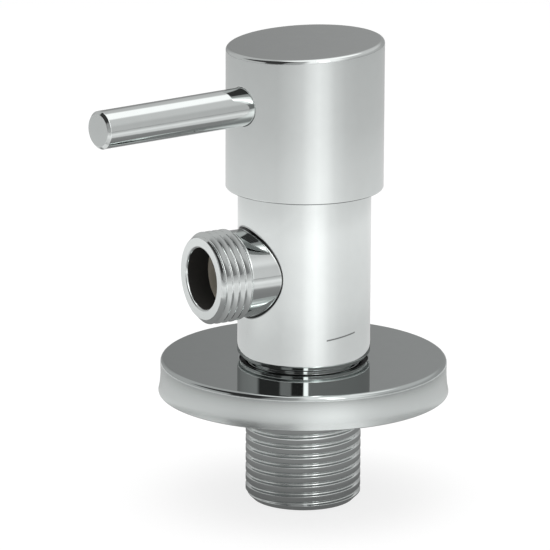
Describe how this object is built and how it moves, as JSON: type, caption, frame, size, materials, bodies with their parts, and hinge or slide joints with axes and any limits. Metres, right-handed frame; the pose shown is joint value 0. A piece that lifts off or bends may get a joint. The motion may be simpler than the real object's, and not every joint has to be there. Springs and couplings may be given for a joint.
{
  "type": "angle valve",
  "caption": "Chrome angle valve with a threaded inlet shank, wall plate, round barrel, side outlet spout and a quarter-turn cap handle with a pin lever.",
  "frame": {"origin": "on the common axis of shank, barrel and handle, at the end face of the inlet shank", "axes": "+Z from the inlet end to the handle; -Y along the outlet spout"},
  "size_m": [0.0528, 0.0716, 0.0854],
  "materials": {
    "chrome_body": "mirror-polished chrome on brass",
    "chrome_cap": "mirror-polished chrome on a zinc casting",
    "chrome_lever": "mirror-polished chrome on brass bar",
    "chrome_plate": "polished chrome on pressed sheet",
    "cartridge_brass": "bare turned brass",
    "spring_steel": "bright steel",
    "seal_rubber": "black moulded rubber",
    "gasket_rubber": "black flat gasket",
    "disc_ceramic": "lapped white ceramic",
    "washer_plastic": "natural white plastic"
  },
  "bodies": {
    "body": {"valve_body": "chrome_body", "headwork_housing": "cartridge_brass", "headwork_gasket": "gasket_rubber", "lip_seal": "seal_rubber", "seal_support_ring": "spring_steel", "fixed_disc": "disc_ceramic", "slip_washer": "washer_plastic"},
    "handle": {"handle_cap": "chrome_cap", "lever_rod": "chrome_lever", "handle_grub_screw": "spring_steel", "spindle": "cartridge_brass", "spindle_o_ring_lower": "seal_rubber", "spindle_o_ring_upper": "seal_rubber", "retaining_clip": "spring_steel", "rotating_disc": "disc_ceramic"},
    "wall_plate": {"escutcheon": "chrome_plate", "escutcheon_ring": "seal_rubber"}
  },
  "joints": [
    {"name": "handle_turn", "type": "hinge", "parent": "body", "child": "handle", "pos_m": [0, 0, 0.07], "axis": [0, 0, 1], "range_deg": [-90, 0]},
    {"name": "escutcheon_slide", "type": "slide", "parent": "body", "child": "wall_plate", "axis": [0, 0, 1], "range_m": [-0.019, 0.001]}
  ]
}
